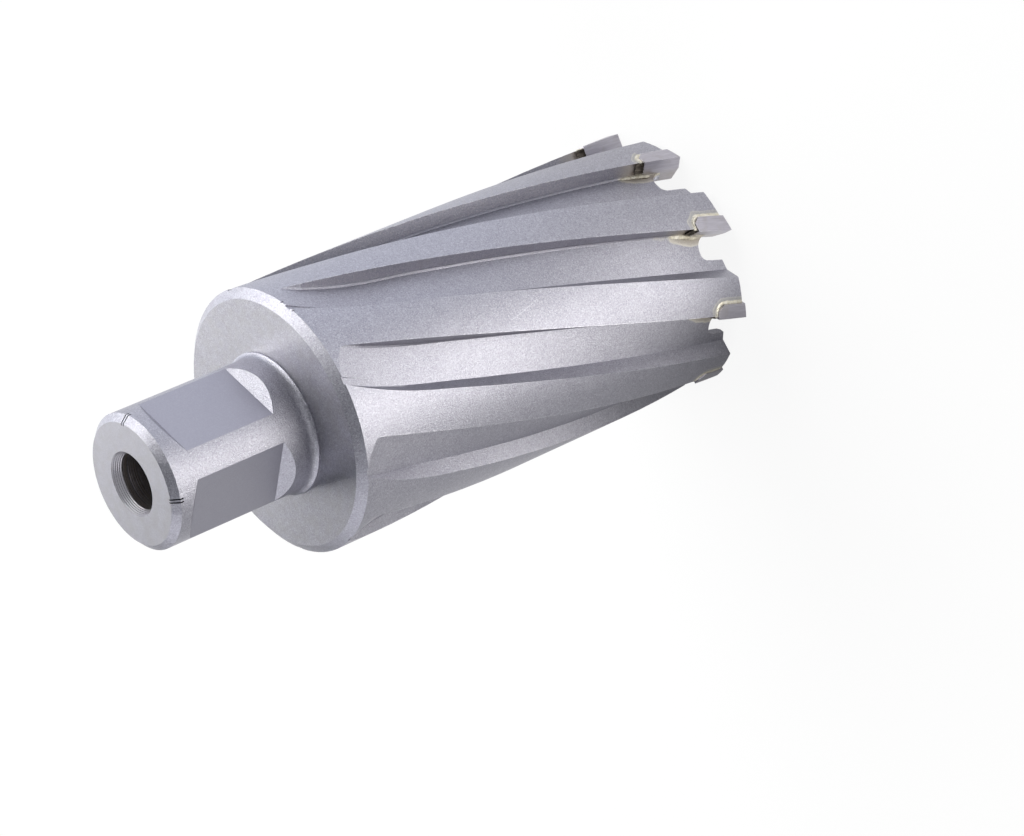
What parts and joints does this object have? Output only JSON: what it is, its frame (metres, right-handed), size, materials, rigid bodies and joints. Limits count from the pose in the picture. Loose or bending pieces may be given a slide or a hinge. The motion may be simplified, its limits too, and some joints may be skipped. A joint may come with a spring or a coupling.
{
  "type": "annular cutter",
  "caption": "Hollow hole cutter: a fluted steel cup with brazed carbide teeth, on a short cylindrical shank with drive flats and a pilot bore.",
  "frame": {"origin": "on the cutter's axis, in the plane of the tooth points", "axes": "+Z along the axis towards the shank end, +X midway between the directions that the two drive flats face"},
  "size_m": [0.0379, 0.0377, 0.0931],
  "materials": {
    "tool_steel": "bead-blasted, matte with a fine grain",
    "tungsten_carbide": "ground, dark grey",
    "silver_solder": "as flowed, pale yellow"
  },
  "bodies": {
    "root": {"cutter_body": "tool_steel", "carbide_tip_1": "tungsten_carbide", "carbide_tip_2": "tungsten_carbide", "carbide_tip_3": "tungsten_carbide", "carbide_tip_4": "tungsten_carbide", "carbide_tip_5": "tungsten_carbide", "carbide_tip_6": "tungsten_carbide", "carbide_tip_7": "tungsten_carbide", "carbide_tip_8": "tungsten_carbide", "carbide_tip_9": "tungsten_carbide", "braze_joint_1": "silver_solder", "braze_joint_2": "silver_solder", "braze_joint_3": "silver_solder", "braze_joint_4": "silver_solder", "braze_joint_5": "silver_solder", "braze_joint_6": "silver_solder", "braze_joint_7": "silver_solder", "braze_joint_8": "silver_solder", "braze_joint_9": "silver_solder"}
  },
  "joints": []
}
